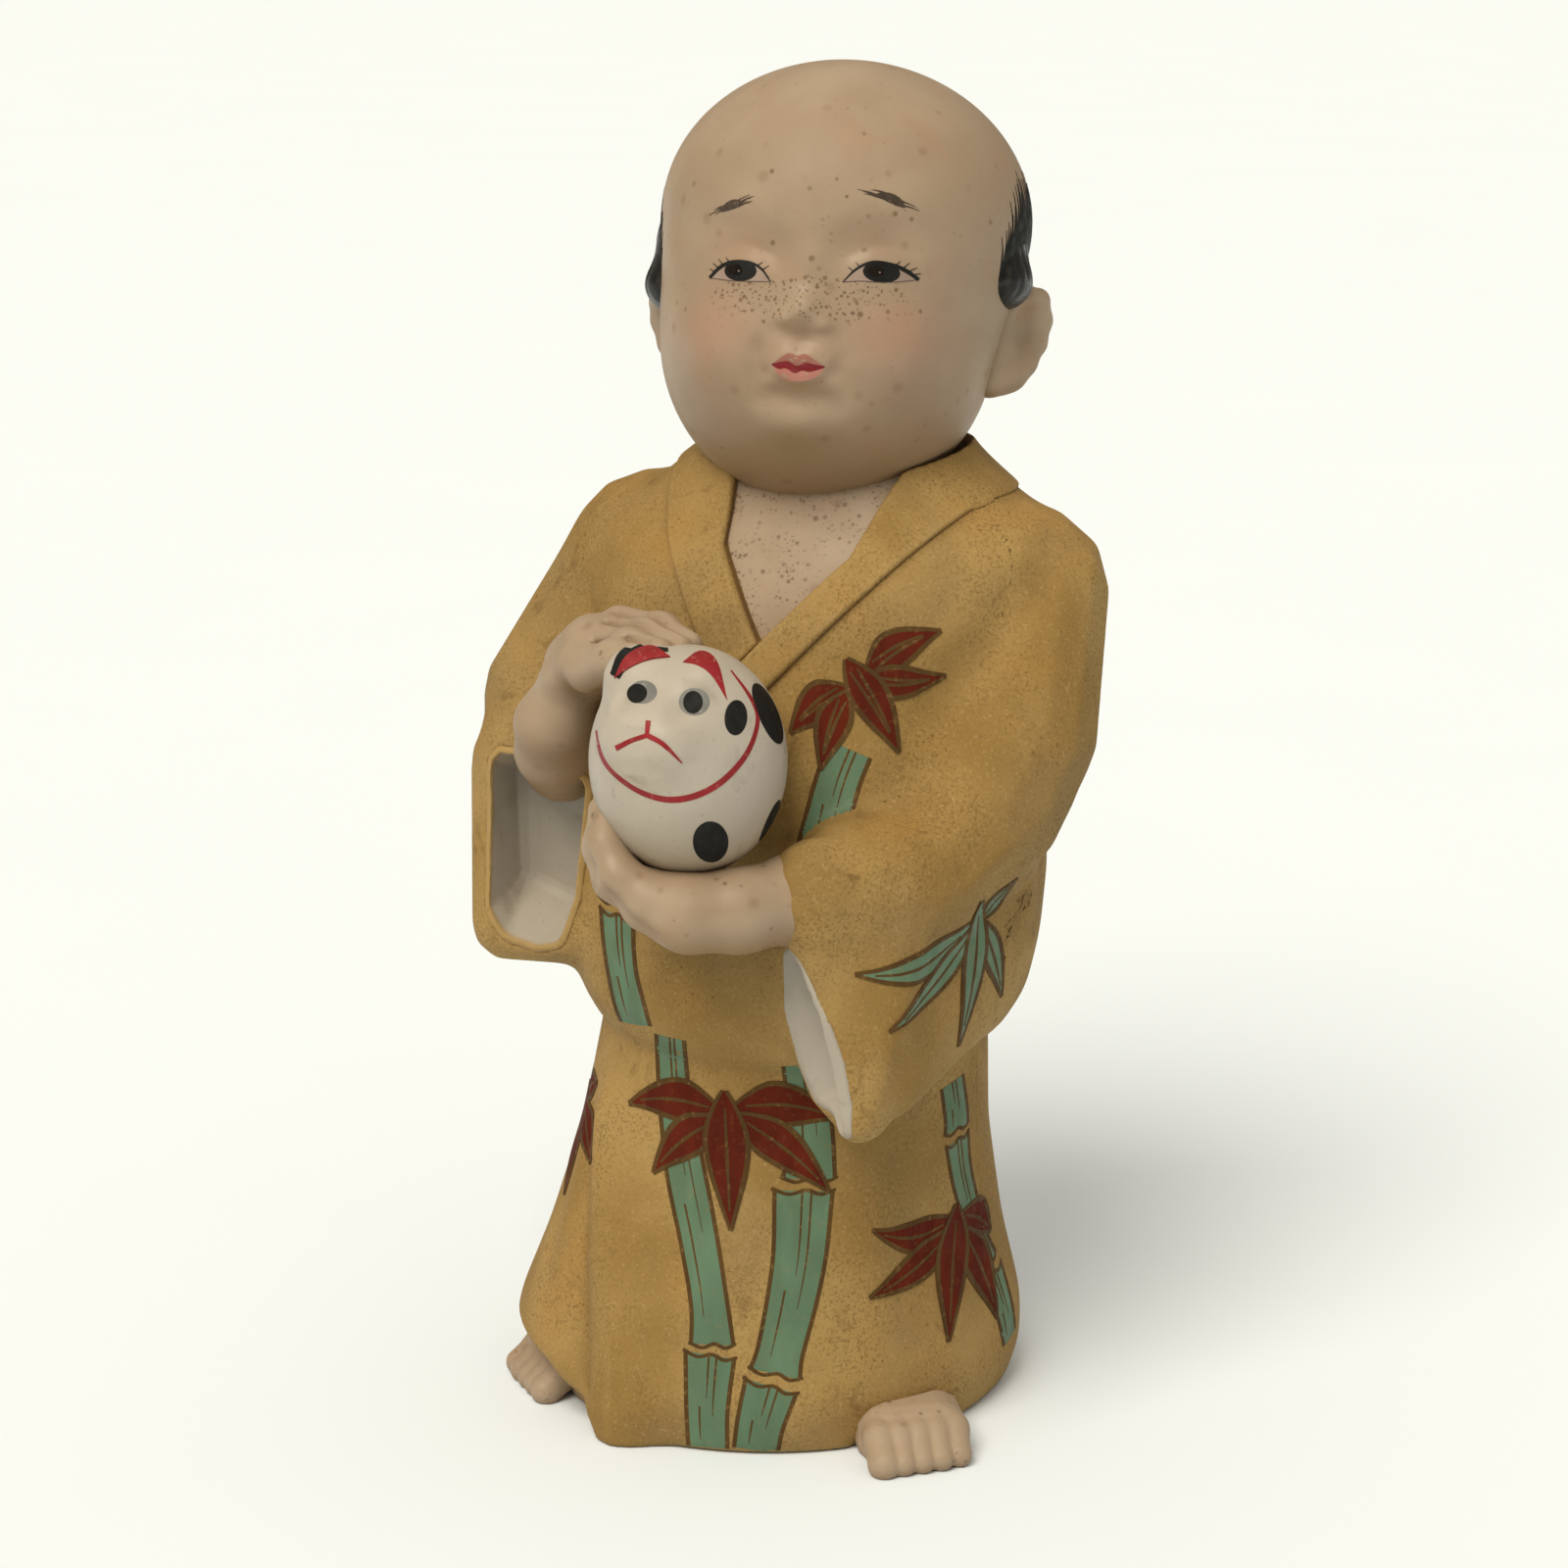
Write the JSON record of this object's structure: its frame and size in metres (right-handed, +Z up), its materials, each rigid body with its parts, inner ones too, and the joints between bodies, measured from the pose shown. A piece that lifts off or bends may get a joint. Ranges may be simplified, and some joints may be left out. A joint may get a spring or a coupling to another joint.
{
  "type": "clay child figurine",
  "caption": "Standing bald child in a wide-sleeved robe painted with bamboo, both hands holding an egg-shaped toy dog; a free-standing hollow clay ornament.",
  "frame": {"origin": "on the floor, in the middle of the base plate's underside", "axes": "+Z up, the robe's front faces -Y, the figure's own left hand is at +X"},
  "size_m": [0.1079, 0.1033, 0.2228],
  "materials": {
    "robe_ochre": "matte ochre pigment dabbed on with a sponge, with darker grain in the folds",
    "lining_white": "matte chalky white",
    "skin_beige": "matte warm beige with brown age spots and a faint pink blush",
    "hair_black": "satin black lacquer over the relief",
    "toy_white": "matte off-white with brushed black and red marks",
    "bare_clay": "unpainted fired clay",
    "paint_green": "matte blue-green pigment, brushed on",
    "paint_red": "matte dark red pigment, brushed on",
    "paint_gold": "gold-brown outline pigment",
    "paint_black": "black pigment in brushed marks",
    "paint_bright": "bright red pigment of the toy's marks and the lips"
  },
  "bodies": {
    "root": {"skirt_front_shell": "robe_ochre", "skirt_back_shell": "robe_ochre", "torso_front_shell": "robe_ochre", "torso_back_shell": "robe_ochre", "base_plate": "bare_clay", "neck_and_chest": "skin_beige", "collar_band_left": "robe_ochre", "collar_band_right": "robe_ochre", "head_face_shell": "skin_beige", "head_back_shell": "skin_beige", "ear_left": "skin_beige", "ear_right": "skin_beige", "hair_tuft_left": "hair_black", "hair_tuft_right": "hair_black", "sleeve_left": "robe_ochre", "sleeve_right": "robe_ochre", "sleeve_lining_left": "lining_white", "sleeve_lining_right": "lining_white", "hand_left": "skin_beige", "hand_right": "skin_beige", "toy_dog": "toy_white", "foot_left": "skin_beige", "foot_right": "skin_beige"}
  },
  "joints": []
}
